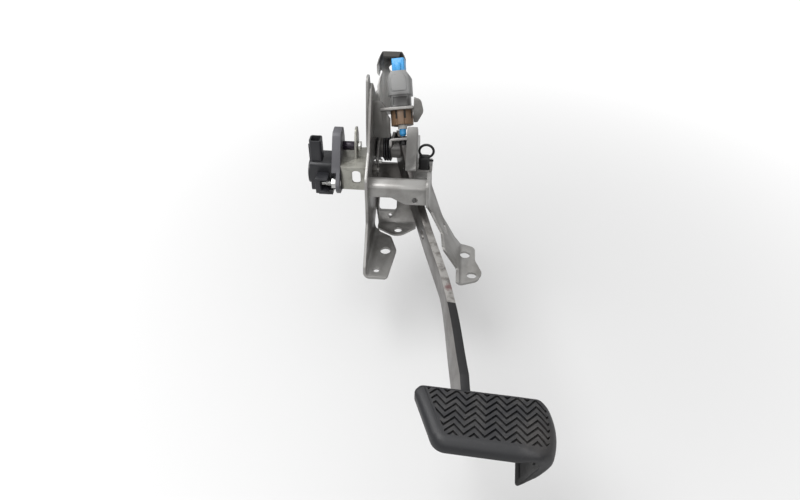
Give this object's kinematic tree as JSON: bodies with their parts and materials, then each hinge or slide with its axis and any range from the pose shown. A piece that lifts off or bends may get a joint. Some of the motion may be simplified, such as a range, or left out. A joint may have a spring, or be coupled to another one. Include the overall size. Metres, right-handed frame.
{
  "type": "brake pedal",
  "caption": "Hanging car brake pedal on a stamped firewall bracket, with ribbed rubber pad, stop-lamp switch and pedal stroke sensor.",
  "frame": {"origin": "midway between the two firewall stud holes, on the underside of the feet", "axes": "+Z away from the firewall toward the driver, +Y from the pad toward the pivot, +X to the driver's right"},
  "size_m": [0.2414, 0.387, 0.1824],
  "materials": {
    "bracket_steel": "satin grey coated sheet steel, scuffed",
    "arm_steel": "grey coated steel, black paint on the lower front edge",
    "black_steel": "black paint",
    "galvanised": "olive-grey zinc plate",
    "zinc": "bright zinc",
    "spring_steel": "oiled spring wire",
    "tinned_brass": "tinned",
    "black_nylon": "moulded",
    "black_plastic": "moulded, fine grain",
    "dark_plastic": "moulded, dark grey",
    "grey_plastic": "moulded, mid grey",
    "tan_plastic": "moulded, tan",
    "white_plastic": "moulded, off white",
    "blue_plastic": "moulded, bright blue",
    "rubber": "charcoal rubber with a slight sheen"
  },
  "bodies": {
    "bracket": {"left_side_plate": "bracket_steel", "left_doubler": "bracket_steel", "right_side_plate": "bracket_steel", "front_crosspiece": "bracket_steel", "rear_crosspiece": "bracket_steel", "upper_support": "bracket_steel", "switch_bracket": "bracket_steel", "pivot_bolt": "zinc", "pivot_nut": "zinc", "pivot_sleeve": "zinc", "return_spring": "spring_steel", "switch_body": "grey_plastic", "switch_adjuster": "tan_plastic", "switch_connector": "blue_plastic", "switch_guide": "white_plastic", "switch_terminals": "tinned_brass", "sensor_cradle": "galvanised", "sensor_flange": "dark_plastic", "sensor_housing": "black_plastic", "sensor_terminals": "tinned_brass", "sensor_stud": "zinc", "sensor_nut": "zinc", "sensor_spacer": "dark_plastic", "sensor_bolt": "zinc", "cradle_screws": "zinc", "cradle_weld_nuts": "zinc", "harness_clip": "black_nylon"},
    "pedal": {"pedal_hub": "arm_steel", "pedal_arm": "arm_steel", "stop_tab": "arm_steel", "sensor_crank": "arm_steel", "sensor_pin": "zinc", "stop_cushion": "rubber", "pad_plate": "black_steel", "pad_rubber": "rubber", "bush_left": "black_nylon", "bush_right": "black_nylon"},
    "plunger": {"switch_plunger": "blue_plastic"},
    "lever": {"sensor_lever": "black_plastic"}
  },
  "joints": [
    {"name": "pedal_pivot", "type": "hinge", "parent": "bracket", "child": "pedal", "pos_m": [0, 0.082, 0.083], "axis": [1, 0, 0], "range_deg": [0, 16], "stiffness_Nm_per_rad": 6, "springref_deg": -40.11, "deforming": ["return_spring"]},
    {"name": "plunger_slide", "type": "slide", "parent": "bracket", "child": "plunger", "axis": [0.1098, -0.5878, -0.8015], "range_m": [0, 0.0065]},
    {"name": "lever_pivot", "type": "hinge", "parent": "bracket", "child": "lever", "pos_m": [0, 0.044, 0.07], "axis": [1, 0, 0], "range_deg": [-22, 0]}
  ],
  "couplings": [
    {"joint": "plunger_slide", "follows": "pedal_pivot", "m_per_rad": 0.0215},
    {"joint": "lever_pivot", "follows": "pedal_pivot", "ratio": -1.304}
  ]
}
